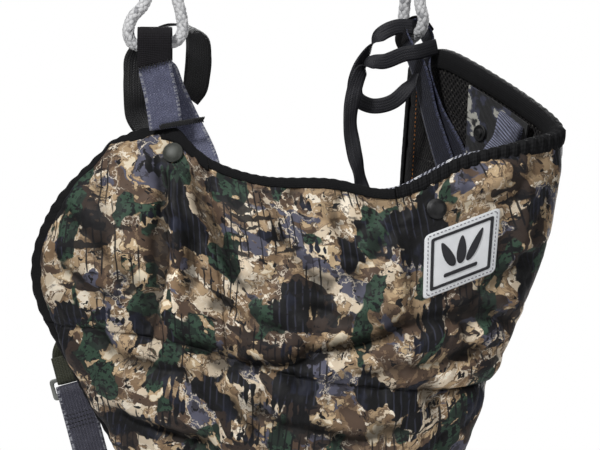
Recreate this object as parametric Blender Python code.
"""Hanging sling seat (hunting saddle) on its rope bridge.

The seat is a padded sheet bent into a U around the wearer's hips.  It hangs
from two folded webbing loops on the eyes of one rope, whose bight goes over
the hook or carabiner that carries it.  +Z is up, +Y points to the open front
of the U, and the outer face of the back panel looks towards -Y.  Left is -X.
The origin is on the underside of the rope's bight, where the hook bears.

Points are given in mm in a drawing frame; make() moves HANG to the origin and
scales to metres.  Places on the sheet are (u, v): u counts stations round the
girth from the left front edge, v runs from the rim (0) to the hem (4).
Offsets are along the outward normal, so negative is the wearer's side.
"""
import bpy
import bmesh
import math
from mathutils import Vector

X, Y, Z = Vector((1, 0, 0)), Vector((0, 1, 0)), Vector((0, 0, 1))
MM = 0.001

# ------------------------------------------------------------------ dimensions (mm)
GAP = 0.4                              # clearance between shell and load band
SHELL_T = 2.0                          # camo shell thickness
BAND_T = 1.5                           # load band thickness
BAND_OUT = -(SHELL_T + GAP)            # outer face of the load bands
LINING_IN, LINING_OUT = -7.0, -4.4     # faces of the air mesh lining
TAPE_IN = 8.8                          # depth of the edge tapes' inner face
WEB_T = 1.6                            # usual webbing thickness
BRIDGE_WEB_W = 25.4                    # nominal width of the left bridge webbing
ROPE_R = 3.9                           # rope radius
APEX = Vector((-9, 81, 655))           # centre of the rope at the top of its bight
HANG = Vector((-7.66, 82.05, 655 - ROPE_R))   # underside of the bight
LOOP_R = 9.2                           # fold radius of a bridge loop on the rope
SNAP_R = 7.3                           # snap cap radius
SNAP_GAP = 1.1                         # clearance between a snap and the sheet
BELT_W = 25.0                          # waist belt width
LEG_W = 24.0                           # leg strap width
LEG_T = 1.5                            # leg strap and tab thickness

for old in list(bpy.data.objects):
    bpy.data.objects.remove(old, do_unlink=True)

# ------------------------------------------------------------------ materials
# kind: (linear RGB, roughness, metallic)
PALETTE = {
    "camo": ((0.30, 0.25, 0.18), 0.85, 0.0),
    "lining": ((0.02, 0.02, 0.025), 0.95, 0.0),
    "binding": ((0.015, 0.015, 0.018), 0.8, 0.0),
    "slate": ((0.10, 0.11, 0.18), 0.8, 0.0),
    "black_web": ((0.012, 0.012, 0.015), 0.75, 0.0),
    "jacquard": ((0.25, 0.27, 0.33), 0.8, 0.0),
    "olive": ((0.07, 0.08, 0.035), 0.85, 0.0),
    "rope": ((0.62, 0.62, 0.66), 0.7, 0.0),
    "snap": ((0.17, 0.18, 0.16), 0.35, 0.8),
    "black_snap": ((0.015, 0.015, 0.015), 0.3, 0.2),
    "plastic": ((0.02, 0.02, 0.022), 0.45, 0.0),
    "alloy": ((0.12, 0.12, 0.13), 0.4, 0.9),
    "patch": ((0.68, 0.69, 0.70), 0.6, 0.0),
    "patch_dark": ((0.04, 0.04, 0.045), 0.6, 0.0),
    "sleeve": ((0.01, 0.01, 0.012), 0.9, 0.0),
}


def material(kind, name):
    rgb, roughness, metallic = PALETTE[kind]
    mat = bpy.data.materials.new(name + "_mat")
    mat.use_nodes = True
    shader = mat.node_tree.nodes["Principled BSDF"]
    shader.inputs["Base Color"].default_value = (*rgb, 1.0)
    shader.inputs["Roughness"].default_value = roughness
    shader.inputs["Metallic"].default_value = metallic
    mat.diffuse_color = (*rgb, 1.0)
    return mat


# ------------------------------------------------------------------ mesh helpers
def make(name, kind, verts, faces, pivot=None):
    """A closed mesh from drawing-frame points; its origin goes on pivot."""
    base = Vector(pivot) if pivot is not None else HANG
    mesh = bpy.data.meshes.new(name)
    mesh.from_pydata([tuple((Vector(v) - base) * MM) for v in verts], [], faces)
    mesh.update()
    bm = bmesh.new()
    bm.from_mesh(mesh)
    bmesh.ops.recalc_face_normals(bm, faces=bm.faces)
    bm.to_mesh(mesh)
    bm.free()
    ob = bpy.data.objects.new(name, mesh)
    bpy.context.scene.collection.objects.link(ob)
    ob.location = (base - HANG) * MM
    mesh.materials.append(material(kind, name))
    return ob


def hide_tool(ob):
    ob.hide_render = True
    ob.display_type = "WIRE"
    return ob


def boolean(ob, tool, name, operation, use_self=False):
    mod = ob.modifiers.new(name, "BOOLEAN")
    mod.operation = operation
    mod.solver = "EXACT"
    mod.use_self = use_self
    mod.object = tool


def quad(a, b, c, d):
    """A four-sided face as two triangles, split from a to c."""
    return [(a, b, c), (a, c, d)]


def grid_faces(rows, cols):
    """Faces of two parallel grids of points, without the walls between them."""
    under = rows * cols
    faces = []
    for i in range(rows - 1):
        for j in range(cols - 1):
            a = i * cols + j
            b, c, d = a + cols, a + cols + 1, a + 1
            faces += quad(a, b, c, d) + quad(under + a, under + d, under + c, under + b)
    return faces


def loft(name, kind, rings, pivot=None):
    """A closed solid through rings of equal point count, with flat end caps."""
    size = len(rings[0])
    verts = [p for ring in rings for p in ring]
    faces = []
    for i in range(len(rings) - 1):
        a, b = i * size, (i + 1) * size
        for j in range(size):
            k = (j + 1) % size
            faces += quad(a + j, a + k, b + k, b + j)
    faces.append(tuple(range(size))[::-1])
    faces.append(tuple(len(verts) - size + j for j in range(size)))
    return make(name, kind, verts, faces, pivot)


def prism(name, kind, outline, thick, place, pivot=None, holes=()):
    """A flat plate: outline points (a, b) swept through c, placed by place(a, b, c)."""
    bm = bmesh.new()
    edges = []
    for loop in [outline, *holes]:
        ring = [bm.verts.new((a, b, -thick / 2)) for a, b in loop]
        edges += [bm.edges.new((ring[i], ring[(i + 1) % len(ring)])) for i in range(len(ring))]
    bmesh.ops.triangle_fill(bm, use_beauty=True, use_dissolve=False, edges=edges)
    top = bmesh.ops.extrude_face_region(bm, geom=list(bm.faces))
    for item in top["geom"]:
        if isinstance(item, bmesh.types.BMVert):
            item.co.z += thick
    bm.verts.ensure_lookup_table()
    bm.verts.index_update()
    verts = [place(v.co.x, v.co.y, v.co.z) for v in bm.verts]
    faces = [tuple(v.index for v in f.verts) for f in bm.faces]
    bm.free()
    return make(name, kind, verts, faces, pivot)


def round_rect(a0, a1, b0, b1, radius, seg=3):
    corners = ((a1 - radius, b1 - radius, 0), (a0 + radius, b1 - radius, 90),
               (a0 + radius, b0 + radius, 180), (a1 - radius, b0 + radius, 270))
    out = []
    for centre_a, centre_b, start in corners:
        for k in range(seg + 1):
            angle = math.radians(start + 90 * k / seg)
            out.append((centre_a + radius * math.cos(angle), centre_b + radius * math.sin(angle)))
    return out


def box_tool(name, place, a_span, b_span, c_span):
    """A hidden box for a boolean, placed by place(a, b, c)."""
    verts = [place(a, b, c) for a in a_span for b in b_span for c in c_span]
    faces = [(0, 1, 3, 2), (4, 6, 7, 5), (0, 4, 5, 1), (2, 3, 7, 6), (0, 2, 6, 4), (1, 5, 7, 3)]
    return hide_tool(make(name, "plastic", verts, faces))


def slider(name, place, half_a, half_b, corner, thick, slot, pivot=None):
    """A rounded plate with a flat slot through it; slot holds the tool's half sizes."""
    outline = round_rect(-half_a, half_a, -half_b, half_b, corner)
    body = prism(name, "plastic", outline, thick, place, pivot)
    tool = box_tool(name + "_tool", place, *[(-half, half) for half in slot])
    boolean(body, tool, "slot", "DIFFERENCE")


def disc(name, kind, profile, centre, axis, sides):
    """A turned piece: profile of (radius, height) from the base centre to the top centre."""
    axis = axis.normalized()
    side = axis.orthogonal().normalized()
    other = axis.cross(side)
    verts = [centre + axis * profile[0][1]]
    for radius, height in profile[1:-1]:
        for k in range(sides):
            angle = 2 * math.pi * k / sides
            verts.append(centre + axis * height + side * (radius * math.cos(angle))
                         + other * (radius * math.sin(angle)))
    verts.append(centre + axis * profile[-1][1])
    rings = len(profile) - 2
    last = 1 + (rings - 1) * sides
    faces = []
    for j in range(sides):
        k = (j + 1) % sides
        faces.append((0, 1 + k, 1 + j))
        for i in range(rings - 1):
            a, b = 1 + i * sides, 1 + (i + 1) * sides
            faces += quad(a + j, a + k, b + k, b + j)
        faces.append((last + j, last + k, len(verts) - 1))
    return make(name, kind, verts, faces)


# ------------------------------------------------------------------ the sling surface
# Girth stations from the left front edge round the back to the right front
# edge.  Each holds five points from the rim down to the hem: (x, y, z).
STATIONS = [
    [(-133, 42, 216), (-175, 30, 169), (-188, 32, 115), (-158, 40, 49), (-113, 55, -31)],
    [(-113, 26, 223), (-145, 8, 167), (-152, 6, 111), (-127, 12, 41), (-91, 32, -46)],
    [(-91, 14, 225), (-96, -4, 165), (-99, -10, 105), (-85, -6, 31), (-61, 16, -63)],
    [(-66, 4, 203), (-61, -12, 150), (-54, -18, 91), (-47, -14, 21), (-33, 8, -77)],
    [(-28, -4, 190), (-19, -18, 140), (-12, -25, 80), (-8, -18, 10), (-5, 6, -85)],
    [(20, -8, 188), (27, -20, 136), (30, -26, 73), (27, -18, 3), (20, 8, -91)],
    [(65, -10, 181), (72, -19, 132), (69, -24, 70), (60, -14, 0), (42, 14, -92)],
    [(112, -3, 202), (112, -8, 136), (102, -10, 70), (85, 0, 0), (58, 28, -90)],
    [(158, 14, 214), (151, 10, 140), (133, 10, 73), (107, 16, 7), (70, 46, -84)],
    [(184, 44, 223), (170, 44, 143), (143, 44, 80), (111, 48, 10), (72, 74, -77)],
    [(163, 84, 246), (150, 92, 160), (124, 88, 92), (96, 88, 20), (62, 104, -66)],
    [(110, 139, 280), (107, 142, 190), (93, 136, 112), (74, 130, 36), (46, 136, -50)],
    [(94, 174, 277), (88, 190, 200), (78, 184, 122), (62, 168, 46), (34, 160, -38)],
    [(86, 200, 272), (82, 224, 212), (76, 224, 140), (58, 202, 60), (24, 182, -25)],
]
COLUMNS = [[Vector(p) for p in column] for column in STATIONS]
U_END = len(STATIONS) - 1
V_END = len(STATIONS[0]) - 1
U_TAPE_L, U_TAPE_R = .18, 12.8         # inner edges of the front edge tapes
V_TAPE_RIM, V_TAPE_HEM = .12, 3.9      # inner edges of the rim and hem tapes
# Grid lines of the sewn sheets
U_LINES = [0, U_TAPE_L, .6, 1, 1.5, 2, 2.5, 3, 3.5, 4, 4.5, 5, 5.5, 6, 6.5, 7, 7.5, 8,
           8.5, 9, 9.5, 10, 10.5, 11, 11.5, 12, 12.45, U_TAPE_R, U_END]
V_LINES = [0, V_TAPE_RIM, .45, .9, 1.4, 1.9, 2.4, 2.9, 3.4, V_TAPE_HEM, V_END]


def spline(pts, t):
    """Catmull-Rom through evenly numbered points."""
    n = len(pts) - 1
    i = min(int(t), n - 1)
    f = t - i
    p1, p2 = pts[i], pts[i + 1]
    p0 = pts[i - 1] if i > 0 else p1 * 2 - p2
    p3 = pts[i + 2] if i + 2 <= n else p2 * 2 - p1
    return 0.5 * ((2 * p1) + (p2 - p0) * f + (2 * p0 - 5 * p1 + 4 * p2 - p3) * f * f
                  + (3 * p1 - p0 - 3 * p2 + p3) * f ** 3)


def inside(u, v):
    return max(0.0, min(float(U_END), u)), max(0.0, min(float(V_END), v))


def surf(u, v):
    """A point of the sheet; past its rim it runs on straight."""
    step = .05
    cu, cv = inside(u, v)
    p = spline([spline(column, cv) for column in COLUMNS], cu)
    if v < 0:
        p += (p - spline([spline(column, step) for column in COLUMNS], cu)) * (-v / step)
    return p


def normal(u, v):
    """Outward normal, away from the wearer."""
    step = 0.02
    u, v = inside(u, v)
    du = surf(min(u + step, U_END), v) - surf(max(u - step, 0), v)
    dv = surf(u, min(v + step, V_END)) - surf(u, max(v - step, 0))
    return dv.cross(du).normalized()


def at(u, v, offset):
    return surf(u, v) + normal(u, v) * offset


def find(x, z, u=7.0, v=1.0):
    """(u, v) of the sheet point at a given x and z, by Newton steps from a first guess."""
    step, longest = 0.01, .4
    for _ in range(60):
        p = surf(u, v)
        miss_x, miss_z = x - p.x, z - p.z
        if abs(miss_x) + abs(miss_z) < 1e-4:
            break
        a, b = (surf(u + step, v) - p) / step, (surf(u, v + step) - p) / step
        det = a.x * b.z - b.x * a.z
        u += max(-longest, min(longest, (miss_x * b.z - b.x * miss_z) / det))
        v += max(-longest, min(longest, (a.x * miss_z - miss_x * a.z) / det))
    return u, v


def lines_between(lines, start, end):
    return [start] + [t for t in lines if start + .02 < t < end - .02] + [end]


def layer(name, kind, u0, u1, v0, v1, outer, inner):
    """A sewn sheet between two offsets of the sling surface."""
    us, vs = lines_between(U_LINES, u0, u1), lines_between(V_LINES, v0, v1)
    rows, cols = len(us), len(vs)
    under = rows * cols
    verts = [at(u, v, offset) for offset in (outer, inner) for u in us for v in vs]
    faces = grid_faces(rows, cols)
    walls = [(i * cols + j, (i + 1) * cols + j) for i in range(rows - 1) for j in (0, cols - 1)]
    walls += [(i * cols + j, i * cols + j + 1) for j in range(cols - 1) for i in (0, rows - 1)]
    for a, b in walls:
        faces += quad(a, b, under + b, under + a)
    return make(name, kind, verts, faces)


# ------------------------------------------------------------------ strap and tube helpers
def resample(pts, count):
    pts = [Vector(p) for p in pts]
    return [spline(pts, (len(pts) - 1) * k / (count - 1)) for k in range(count)]


def frames(pts, wides):
    """Point, unit width and unit thickness direction at each point of a path."""
    out = []
    for i, p in enumerate(pts):
        along = (pts[min(i + 1, len(pts) - 1)] - pts[max(i - 1, 0)]).normalized()
        wide = wides[i] - along * wides[i].dot(along)
        wide.normalize()
        out.append((p, wide, along.cross(wide)))
    return out


def on_sheet(u, v, offset, wide):
    """A strap key lying along the sheet: point, width direction, and place on the sheet."""
    return at(u, v, offset), Vector(wide), (u, v, offset)


def sheet_ring(u, v, offset, wide, thin, width, thick):
    """A strap section bent to the sheet, so that the strap lies flat on it."""
    step = .02
    su = (surf(u + step, v) - surf(u - step, v)) / (2 * step)
    sv = (surf(u, v + step) - surf(u, v - step)) / (2 * step)
    half = wide * (width / 2)
    # Least-squares (du, dv) that covers half the strap's width
    a, b, c = su.dot(su), su.dot(sv), sv.dot(sv)
    p, q = half.dot(su), half.dot(sv)
    det = a * c - b * b
    du, dv = (p * c - q * b) / det, (q * a - p * b) / det
    side = 1 if thin.dot(normal(u, v)) > 0 else -1
    high, low = offset + side * thick / 2, offset - side * thick / 2
    return [at(u + du, v + dv, high), at(u - du, v - dv, high),
            at(u - du, v - dv, low), at(u + du, v + dv, low)]


def ribbon(name, kind, keys, width, thick=WEB_T, count=None, pivot=None):
    """Webbing along keys of (point, width direction) or of on_sheet."""
    pts = [Vector(key[0]) for key in keys]
    wides = [Vector(key[1]) for key in keys]
    if count:
        pts, wides = resample(pts, count), resample(wides, count)
        keys = list(zip(pts, wides))
    rings = []
    for key, (p, wide, thin) in zip(keys, frames(pts, wides)):
        if len(key) == 3:
            rings.append(sheet_ring(*key[2], wide, thin, width, thick))
        else:
            a, b = wide * (width / 2), thin * (thick / 2)
            rings.append([p + a + b, p - a + b, p - a - b, p + a - b])
    return loft(name, kind, rings, pivot)


def tube_rings(pts, radius, up, sides=8):
    rings = []
    for p, wide, thin in frames(pts, [up] * len(pts)):
        ring = []
        for k in range(sides):
            angle = 2 * math.pi * (k + .5) / sides
            ring.append(p + wide * (radius * math.cos(angle)) + thin * (radius * math.sin(angle)))
        rings.append(ring)
    return rings


# ------------------------------------------------------------------ shells, bands, lining
SEAM_U, SEAM_V = .008, .004            # half gaps at the seams
WING_SEAM_L, WING_SEAM_R = 3.0, 10.5   # u of the seams beside the back panel
SLING_SEAM = 2.4                       # v of the seam above the lower sling
UPPER_END, LOWER_START = SLING_SEAM - SEAM_V, SLING_SEAM + SEAM_V
SHELL = (0, -SHELL_T)
BAND = (BAND_OUT, BAND_OUT - BAND_T)

layer("left_wing_shell", "camo", 0, WING_SEAM_L - SEAM_U, 0, UPPER_END, *SHELL)
layer("back_panel_shell", "camo", WING_SEAM_L + SEAM_U, WING_SEAM_R - SEAM_U, 0, UPPER_END, *SHELL)
layer("right_wing_shell", "camo", WING_SEAM_R + SEAM_U, U_END, 0, UPPER_END, *SHELL)
layer("lower_sling_shell", "camo", 0, U_END, LOWER_START, V_END, *SHELL)
layer("upper_load_band", "slate", 1.5, 12.0, .45, .9, *BAND)
layer("lower_load_band", "slate", .6, 12.45, 2.9, 3.4, *BAND)
layer("mesh_lining", "lining", 0, U_END, 0, V_END, LINING_OUT, LINING_IN)

# ------------------------------------------------------------------ edge tapes
ELASTIC_START, ELASTIC_END = 6, 9      # u of the ends of the thicker rim tape


def edge_tape(name, path, flange_out=1.8, cap=2.2, gap=.6):
    """Binding tape folded over the raw edge.  path holds (edge uv, inner uv)."""
    depth = gap - LINING_IN
    rings = []
    for edge_uv, inner_uv in path:
        edge, inner = surf(*edge_uv), surf(*inner_uv)
        n_edge, n_inner = normal(*edge_uv), normal(*inner_uv)
        out = edge - inner
        out = (out - n_edge * out.dot(n_edge)).normalized()
        rings.append([inner + n_inner * flange_out, edge + out * cap + n_edge * flange_out,
                      edge + out * cap - n_edge * TAPE_IN, inner - n_inner * TAPE_IN,
                      inner - n_inner * depth, edge + out * gap - n_edge * depth,
                      edge + out * gap + n_edge * gap, inner + n_inner * gap])
    return loft(name, "binding", rings)


def rim_path(u0, u1):
    return [((u, 0), (u, V_TAPE_RIM)) for u in lines_between(U_LINES, u0, u1)]


def front_path(edge, inner, v0, v1):
    return [((edge, v), (inner, v)) for v in lines_between(V_LINES, v0, v1)]


edge_tape("left_wing_binding",
          rim_path(U_TAPE_L, WING_SEAM_L - SEAM_U)[::-1]
          + [((0, 0), (U_TAPE_L, V_TAPE_RIM))]
          + front_path(0, U_TAPE_L, V_TAPE_RIM, UPPER_END), gap=.7)
edge_tape("back_rim_binding", rim_path(WING_SEAM_L + SEAM_U, ELASTIC_START - SEAM_U))
edge_tape("elastic_rim_binding", rim_path(ELASTIC_START + SEAM_U, ELASTIC_END - SEAM_U),
          flange_out=2.8, cap=3.0, gap=1.0)
edge_tape("right_wing_binding",
          rim_path(ELASTIC_END + SEAM_U, U_TAPE_R)
          + [((U_END, 0), (U_TAPE_R, V_TAPE_RIM))]
          + front_path(U_END, U_TAPE_R, V_TAPE_RIM, UPPER_END), gap=1.3)
edge_tape("hem_binding",
          front_path(0, U_TAPE_L, LOWER_START, V_TAPE_HEM)
          + [((0, V_END), (U_TAPE_L, V_TAPE_HEM))]
          + [((u, V_END), (u, V_TAPE_HEM)) for u in lines_between(U_LINES, U_TAPE_L, U_TAPE_R)]
          + [((U_END, V_END), (U_TAPE_R, V_TAPE_HEM))]
          + front_path(U_END, U_TAPE_R, LOWER_START, V_TAPE_HEM)[::-1])

# ------------------------------------------------------------------ rope bridge
ROPE_SIDES = 8
EYE_STEPS = 22                         # sections along each eye
THROAT_LAP = 4                         # how far the main rope runs on into an eye
LEFT_C = Vector((-103.2, 12, 285))     # centre of the left fold
RIGHT_C = Vector((81, 152, 294))       # centre of the right fold
RIGHT_AXIS = Vector((.35, -.85, .40)).normalized()   # rope direction in the right fold
LEFT_THROAT, RIGHT_THROAT = Vector((-98, 12, 366)), Vector((80, 151, 369))
ACROSS = Vector((178, 139, 0)).normalized()          # from left to right over the bight

# Centre lines of the eyes, from the throat round and back: (x, y, z)
LEFT_EYE = [
    (-96.6, 12, 374), (-101.5, 12, 352), (-106.5, 11.5, 330), (-111, 11, 312),
    (-119.5, 10.5, 302), (-121.8, 10.5, 291.5), (-119.0, 11, 285.0), (-112, 12, 283.2),
    (-103, 12, 283.8), (-94.5, 12, 285.0), (-88.0, 12, 286.6), (-84.2, 12, 292),
    (-84.4, 12, 303), (-88, 12, 318), (-92.5, 12, 345), (-95.5, 12, 374),
]
RIGHT_EYE = [
    (79.4, 150.6, 377), (81.6, 146, 352), (84.2, 139.5, 328), (85.6, 137.2, 313),
    (87.4, 137.2, 306.0),
    RIGHT_C + RIGHT_AXIS * 14.8 + Vector((0, 0, -.8)),
    RIGHT_C + RIGHT_AXIS * 5 + Vector((0, 0, -1.2)),
    RIGHT_C - RIGHT_AXIS * 5,
    RIGHT_C - RIGHT_AXIS * 13.4 + Vector((-.3, 0, .8)),
    (74.0, 168.6, 294.0), (73.4, 168.2, 302), (74.6, 165.6, 318), (76.8, 158.5, 347),
    (77.8, 151.2, 377),
]

left_shoulder = APEX - ACROSS * 17 - Z * 15
right_shoulder = APEX + ACROSS * 17 - Z * 15
main_rope = [
    LEFT_THROAT - (APEX - LEFT_THROAT).normalized() * THROAT_LAP,
    *[LEFT_THROAT.lerp(left_shoulder, f) for f in (.12, .5, 1)],
    APEX - ACROSS * 11 - Z * 4.5,
    APEX - ACROSS * 5,
    APEX + ACROSS * 5,
    APEX + ACROSS * 11 - Z * 4.5,
    *[right_shoulder.lerp(RIGHT_THROAT, f) for f in (0, .5, .88)],
    RIGHT_THROAT - (APEX - RIGHT_THROAT).normalized() * THROAT_LAP,
]
# The main rope is drawn at the radius whose flats touch ROPE_R
main_radius = ROPE_R / math.cos(math.pi / ROPE_SIDES)
bridge = loft("bridge_rope", "rope",
              tube_rings(main_rope, main_radius, ACROSS.cross(Z), ROPE_SIDES))
for tool_name, eye, up in (("left_eye_tool", LEFT_EYE, Y),
                           ("right_eye_tool", RIGHT_EYE, RIGHT_AXIS.cross(Z))):
    rings = tube_rings(resample(eye, EYE_STEPS), ROPE_R, up, ROPE_SIDES)
    eye_tool = hide_tool(loft(tool_name, "rope", rings))
    boolean(bridge, eye_tool, "join_" + tool_name, "UNION", use_self=True)


# ------------------------------------------------------------------ bridge loops, wear sleeves
def fold_keys(centre, axis, toward, radius, lead):
    """Webbing folded over the rope: in along -side, round, and out along +side."""
    along = axis.normalized()
    tails = (toward - along * toward.dot(along)).normalized()
    side = along.cross(tails)
    keys = [(centre - side * radius + tails * lead, axis)]
    for k in range(9):
        angle = math.pi * k / 8
        keys.append((centre - side * (radius * math.cos(angle))
                     - tails * (radius * math.sin(angle)), axis))
    keys.append((centre + side * radius + tails * lead, axis))
    return keys


slant = Vector((.92, 0, .39))
left_keys = (
    [((-96, 10.0, 231), Vector((1, 0, .10))), ((-98.5, 7.4, 247), X)]
    + fold_keys(LEFT_C, X, -Z, LOOP_R, 14)
    + [((-99, 21.2, 265), X), ((-94, 26, 252), slant), ((-86, 28.5, 235), slant)]
    + [on_sheet(u, v, -14.6 + 1.4 * v, slant)
       for u, v in ((2.74, .06), (2.94, .42), (3.07, .82), (3.2, 1.2))])
ribbon("left_bridge_loop", "slate", left_keys, BRIDGE_WEB_W - 1.8)
ribbon("left_wear_sleeve", "sleeve", fold_keys(LEFT_C, X, -Z, LOOP_R + 1.9, 15),
       BRIDGE_WEB_W - 1.0, thick=1.4)

right_tails = Vector((15, -10, -24)).normalized()
diagonal = Vector((.48, -.52, .70))
# (u, v, offset) of the webbing before and after the fold
RIGHT_INNER_TAIL = [(10.62, 1.1, -14.2), (10.95, .72, -14.4), (11.12, .47, -16.6),
                    (11.25, .13, -22.0)]
RIGHT_OUTER_TAIL = [(11.25, .13, -18.6), (11.1, .45, -12.8), (10.8, .68, -11.2),
                    (10.5, 1.0, -11.2), (10.2, 1.32, -11.2), (9.95, 1.62, -11.2)]
right_keys = ([on_sheet(*place, diagonal) for place in RIGHT_INNER_TAIL]
              + fold_keys(RIGHT_C, RIGHT_AXIS, right_tails, LOOP_R, 5)
              + [on_sheet(*place, diagonal) for place in RIGHT_OUTER_TAIL])
ribbon("right_bridge_loop", "slate", right_keys, 18.0)
ribbon("right_wear_sleeve", "sleeve",
       fold_keys(RIGHT_C, RIGHT_AXIS, right_tails, LOOP_R + 2.1, 3), 18.6, thick=1.4)

# ------------------------------------------------------------------ black loops
# Keys: point (x, y, z), width direction
ribbon("left_gear_loop", "black_web", [
    on_sheet(1.45, .75, -11.6, X), on_sheet(1.3, .38, -13.0, X), on_sheet(1.16, .06, -16.6, X),
    ((-115.5, 42.5, 238), X), ((-116, 40, 250), X), ((-116, 40, 262), X),
    ((-115, 41, 276), X * .95 + Y * .3), ((-111.5, 43, 287), X * .5 + Y),
    ((-104, 44, 295), Y), ((-92, 44, 299), Y), ((-81, 43, 297), Y + X * .4),
    ((-74.5, 42, 289), Y * .8 + X), ((-73, 41, 276), Y * .5 + X), ((-74, 40, 263), Y * .5 + X),
    ((-76, 39, 253), Y * .6 + X), ((-80, 38.5, 247), Y * .7 + X),
], 20.0, thick=1.8)

ACCESSORY_WEB = dict(width=11.0, thick=1.2, count=44)
ribbon("right_accessory_loop", "black_web", [
    ((68, 140, 300), Z), ((56, 138, 294), Z + Y * .4), ((47, 136, 282), Y + X * .6),
    ((41, 134, 270), X + Y * .6), ((38, 133, 257), X), ((40, 133, 248), X + Z * .6),
    ((51, 133, 243), Z + X * .2), ((65, 134, 246), Z), ((76, 137, 256), Z + Y * .5),
    ((82, 140, 266), Y + Z * .6),
], **ACCESSORY_WEB)
ribbon("right_accessory_tail", "black_web", [
    ((84, 128, 282), Z), ((73, 126, 280), Z), ((60, 124, 275), Z), ((50, 122, 274), Z + Y * .6),
    ((42, 121, 267), X + Y * .5), ((37, 120, 252), X), ((34.5, 119, 232), X * .8 + Y * .5),
    ((37, 118, 212), X), ((41, 117, 194), X * .7 + Y * .6), ((44, 116, 180), X),
], **ACCESSORY_WEB)


# ------------------------------------------------------------------ inner webbing
def inner_rim_webbing():
    """Webbing inside the back rim that bows up above it."""
    outer, inner = 10.0, 11.2          # depths of its two faces
    rings = []
    for u in lines_between(U_LINES, 5.4, 7.6):
        up = (surf(u, 0) - surf(u, V_TAPE_RIM)).normalized()
        n_top = normal(u, 0)
        rise = 5.0 * math.sin(math.pi * ((u - 5.2) / 2.6)) + 1.0
        top = surf(u, 0) + up * rise
        low, n_low = surf(u, .2), normal(u, .2)
        rings.append([top - n_top * outer, low - n_low * outer,
                      low - n_low * inner, top - n_top * inner])
    loft("inner_rim_webbing", "jacquard", rings)


inner_rim_webbing()
layer("right_inner_camo_web", "jacquard", 9.7, 10.6, .12, .9, -13.2, -14.4)
ribbed_wide = Vector((.84, 0, -.54))
ribbon("right_inner_ribbed_web", "slate", [
    on_sheet(10.0, .45, -17.2, ribbed_wide), on_sheet(9.8, .22, -18.5, ribbed_wide),
    ((150, 66, 231), ribbed_wide), ((142, 44, 216), ribbed_wide), ((133, 25, 201), ribbed_wide),
    on_sheet(7.6, .38, -16.0, ribbed_wide), on_sheet(7.35, .66, -14.0, ribbed_wide),
], 17.0, thick=1.2)

# ------------------------------------------------------------------ snaps
# Turned profiles: (radius, height)
SNAP_CAP = [(0, 0), (SNAP_R * .93, 0), (SNAP_R, .9), (SNAP_R * .93, 2.1), (SNAP_R * .62, 3.1),
            (0, 3.5)]
SNAP_SOCKET = [(0, 0), (5.6, 0), (5.9, .8), (5.4, 1.8), (3.2, 1.9), (3.0, 3.2), (0, 3.4)]


def snap_socket(name, u, v, depth):
    n = normal(u, v)
    disc(name, "black_snap", SNAP_SOCKET, surf(u, v) - n * depth, -n, sides=16)


def snap(prefix, u, v, kind):
    """A cap on the outer face and a socket on the lining behind it."""
    n = normal(u, v)
    disc(prefix + "_cap", kind, SNAP_CAP, surf(u, v) + n * SNAP_GAP, n, sides=24)
    snap_socket(prefix + "_socket", u, v, SNAP_GAP - LINING_IN)


snap("left_snap", *find(-90.3, 207.9, 2.0, .3), "snap")
snap("right_snap", 11.75, .42, "snap")
snap("back_snap", *find(93.8, 168.7, 6.6, .4), "black_snap")
snap_socket("inner_web_snap", 10.42, .42, 15.4)

# ------------------------------------------------------------------ label patch
# (x, z) of its corners: top left, top right, bottom right, bottom left
PATCH = [(85.4, 149.8), (138.6, 170.1), (134.4, 124.6), (84.0, 105.0)]
PATCH_CELLS = 6


def patch_point(s, t, offset):
    """A point s across and t down the patch."""
    top_left, top_right, low_right, low_left = [Vector((x, 0, z)) for x, z in PATCH]
    p = top_left.lerp(top_right, s).lerp(low_left.lerp(low_right, s), t)
    return at(*find(p.x, p.z), offset)


def patch_layer(name, kind, margin, inner, outer):
    """A plate bent to the sheet; margin is its inset as a share of the patch."""
    n = PATCH_CELLS
    cols = n + 1
    shares = [margin + (1 - 2 * margin) * k / n for k in range(cols)]
    verts = [patch_point(s, t, offset) for offset in (outer, inner) for s in shares for t in shares]
    faces = grid_faces(cols, cols)
    under = cols * cols
    border = ([i * cols for i in range(cols)] + [n * cols + j for j in range(1, cols)]
              + [i * cols + n for i in range(n - 1, -1, -1)] + list(range(n - 1, 0, -1)))
    for i, p in enumerate(border):
        q = border[(i + 1) % len(border)]
        faces += quad(p, q, under + q, under + p)
    return make(name, kind, verts, faces)


patch_layer("label_patch", "patch", 0, 1.0, 2.2)
patch_layer("label_plate", "patch_dark", .14, 2.5, 3.1)

# ------------------------------------------------------------------ waist belt and buckle
BUCKLE = Vector((-66, 150, 128))
BELT_ALONG = Vector((.80, .60, 0))     # from the left wing towards the right one
BELT_OUT = Vector((-.60, .80, 0))      # forwards, square to the belt
BELT_RIGHT_OUT = 4.45                  # how far out the right strap lies


def belt_at(along, up, out):
    return BUCKLE + BELT_ALONG * along + Z * up + BELT_OUT * out


# (along, out) of the left strap where it folds through the socket
SOCKET_FOLD = [(-60, -3.4), (-50, -3.4), (-37.5, -3.4), (-33.9, -3.2), (-32.2, -1.6),
               (-31.9, 0), (-32.2, 1.6), (-33.9, 3.2), (-37.5, 3.4), (-56, 3.4)]
ribbon("belt_left_strap", "black_web",
       [on_sheet(.95, 1.55, -11.0, Z), on_sheet(.6, 1.55, -11.0, Z),
        ((-173.5, 52, 138), Z), ((-171, 66, 136), Z), ((-158, 79, 133), Z), ((-140, 94, 130), Z)]
       + [(belt_at(along, 0, out), Z) for along, out in SOCKET_FOLD], BELT_W)

# Socket: a box open at the plug's side, with side windows and a webbing bar
socket = prism("belt_buckle_socket", "plastic", round_rect(-38.5, 4, -19, 19, 4.0), 10.0, belt_at,
               holes=[round_rect(-34.6, -30.2, -13.6, 13.6, 1.0, seg=1)])
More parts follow.
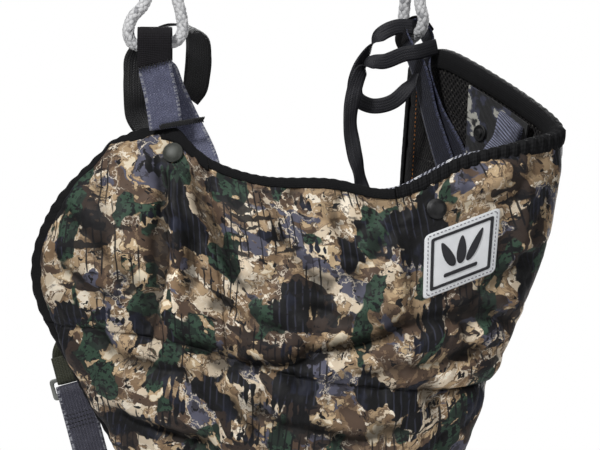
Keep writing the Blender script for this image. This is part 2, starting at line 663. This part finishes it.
# Cutters: name, spans along, up and out
for tool_name, *spans in (
        ("socket_mouth_tool", (-24, 8), (-15.4, 15.4), (-3.1, 3.1)),
        ("socket_window_tool", (-18.5, -4), (-25, 25), (-2.8, 2.8)),
        ("socket_bar_tool_a", (-45, -27.6), (-14.3, 14.3), (-9, -2.2)),
        ("socket_bar_tool_b", (-45, -27.4), (-14.1, 14.1), (2.2, 9))):
    boolean(socket, box_tool(tool_name, belt_at, *spans), "cut_" + tool_name, "DIFFERENCE")

# Plug: a base with a centre tongue and a slotted bridge for the webbing.
# Lower half of its outline: (along, up)
PLUG_HALF = [(-20, -2.6), (4.8, -2.6), (4.8, -6.6), (9.4, -6.6), (9.4, -16), (15, -18.5),
             (34, -18.5)]
plug = prism("belt_buckle_plug", "plastic",
             PLUG_HALF + [(along, -up) for along, up in PLUG_HALF[::-1]], 5.0, belt_at)
plug_bridge = box_tool("plug_bridge_tool", belt_at, (17, 29), (-17.5, 17.5), (2.0, 8.4))
plug_slot = box_tool("plug_slot_tool", belt_at, (10, 40), (-13.4, 13.4), (3.0, 5.9))
boolean(plug, plug_bridge, "union", "UNION")
boolean(plug, plug_slot, "difference", "DIFFERENCE")

# Prongs, each with its origin at its root.  Upper outline: (along, up)
PRONG = [(8.7, 9.6), (8.7, 13.2), (-3.5, 14.2), (-5, 15.0), (-14, 17.5), (-18.5, 13.4),
         (-18.0, 10.6), (-6, 10.4), (2, 9.4)]
PRONG_ROOT = (7, 11.5)
prism("belt_prong_upper", "plastic", PRONG, 4.6, belt_at,
      pivot=belt_at(PRONG_ROOT[0], PRONG_ROOT[1], 0))
prism("belt_prong_lower", "plastic", [(along, -up) for along, up in PRONG][::-1], 4.6, belt_at,
      pivot=belt_at(PRONG_ROOT[0], -PRONG_ROOT[1], 0))

ribbon("belt_right_strap", "black_web",
       [(belt_at(along, 0, BELT_RIGHT_OUT), Z) for along in (7, 20, 60, 100)]
       + [((30, 229, 133), Z), ((45, 237, 139), Z), ((58, 236, 147), Z), ((64, 226, 155), Z),
          on_sheet(12.55, 1.45, -11.0, Z), on_sheet(12.2, 1.45, -11.0, Z)], BELT_W)


def belt_slider_at(a, b, c):
    return belt_at(a + 76, b, c + BELT_RIGHT_OUT)


slider("belt_slider", belt_slider_at, 9, 17.5, corner=2.5, thick=6.4, slot=(20, 13.4, 1.5))

# ------------------------------------------------------------------ leg straps
LEG_FOLD_R = 3.3                       # fold radius round a ring bar
RING_LOW = 12.0                        # from the ring's upper bar to its lower bar
LEG_SLIDER_DOWN = RING_LOW + 60
HOOK_DOWN = RING_LOW + 109.6           # top edge of the hook
# Straps in side view: (down, out).  The tab is measured from the upper bar, the
# strap from the lower bar.
LEG_TAB = [(-12, -LEG_FOLD_R), (-4, -LEG_FOLD_R), (0, -LEG_FOLD_R), (2.4, -2.3),
           (LEG_FOLD_R, 0), (2.4, 2.3), (0, LEG_FOLD_R), (-4, LEG_FOLD_R), (-16, LEG_FOLD_R)]
LEG_STRAP = [(26, -LEG_FOLD_R), (4, -LEG_FOLD_R), (0, -LEG_FOLD_R), (-2.4, -2.3),
             (-LEG_FOLD_R, 0), (-2.4, 2.3), (0, LEG_FOLD_R), (4, LEG_FOLD_R),
             (30, LEG_FOLD_R), (60, LEG_FOLD_R), (100, LEG_FOLD_R), (112, LEG_FOLD_R),
             (114.4, LEG_FOLD_R - 1), (115.3, 0), (114.4, 1 - LEG_FOLD_R),
             (112, -LEG_FOLD_R), (94, -LEG_FOLD_R)]
# Flat hook, a webbing slot bar above an open hook: (across, down from its top edge)
HOOK = [(-16, 0), (16, 0), (16, 13), (13, 24), (3, 29), (-9, 27), (-15, 20), (-15, 15.5),
        (-11, 15.5), (-10.4, 19), (-5, 23.4), (2, 24.4), (9, 21), (11.4, 15.4), (10, 12),
        (-16, 12)]


def leg(side, start_keys, bar, down, wide):
    """One leg strap: sewn tab, ring, strap, slider and hook, hanging from bar."""
    bar, down, wide = Vector(bar), Vector(down).normalized(), Vector(wide).normalized()
    face = down.cross(wide).normalized()

    def leg_at(a, b, c):
        return bar + wide * a + down * b + face * c

    def slider_at(a, b, c):
        return leg_at(a, b + LEG_SLIDER_DOWN, c + LEG_FOLD_R)

    tab = start_keys + [(leg_at(0, b, c), wide) for b, c in LEG_TAB]
    ribbon(side + "_leg_tab", "olive", tab, 20.0, thick=LEG_T)
    # The ring of two bars turns in the tab's fold
    prism(side + "_leg_ring", "alloy", round_rect(-15.5, 15.5, -1.45, 13.9, 2.5), 3.2, leg_at,
          pivot=bar, holes=[round_rect(-12.6, 12.6, 1.45, 10.1, .8, seg=1)])
    strap = [(leg_at(0, RING_LOW + b, c), wide) for b, c in LEG_STRAP]
    ribbon(side + "_leg_strap", "slate", strap, LEG_W, thick=LEG_T, pivot=bar)
    slider(side + "_leg_slider", slider_at, 16.5, 8, corner=2.2, thick=5.6,
           slot=(12.8, 20, 1.3), pivot=slider_at(0, 0, 0))
    prism(side + "_leg_hook", "alloy", [(a, HOOK_DOWN + b) for a, b in HOOK], 2.6, leg_at,
          pivot=bar,
          holes=[round_rect(-12.6, 12.6, HOOK_DOWN + 3.6, HOOK_DOWN + 8.2, .8, seg=1)])


leg("left",
    [on_sheet(1.15, 1.95, -11.2, X), on_sheet(.85, 2.2, -11.2, X), on_sheet(.55, 2.42, -13.5, X),
     ((-162, 56, 78), X)],
    bar=(-164, 60, 50), down=(.2575, 0, -.966), wide=(.966, 0, .2575))
leg("right",
    [on_sheet(12.1, 1.9, -11.2, Y), on_sheet(12.3, 2.15, -11.2, Y), ((45, 214, 86), Y)],
    bar=(44, 222, 50), down=(0, 0, -1), wide=(0, 1, 0))

# ------------------------------------------------------------------ hem loops for the leg hooks
# Each loop in side view: (distance below the hem, depth)
HEM_LOOP = [(5, 11.2), (12, 10.8), (15, 12.8), (12, 14.8), (5, 14.2), (-8, 14.4)]


def hem_loop(side, u):
    hem = surf(u, V_END)
    down = (hem - surf(u, 3.8)).normalized()
    wide = (surf(u + .2, V_END) - surf(u - .2, V_END)).normalized()
    n = normal(u, 3.95)
    keys = [on_sheet(u, 3.62, -11.4, wide), on_sheet(u, 3.85, -11.4, wide)]
    keys += [(hem + down * drop - n * depth, wide) for drop, depth in HEM_LOOP]
    ribbon(side + "_hem_loop", "black_web", keys, 16.0, thick=1.4)


hem_loop("left", 1.6)
hem_loop("right", 11.6)
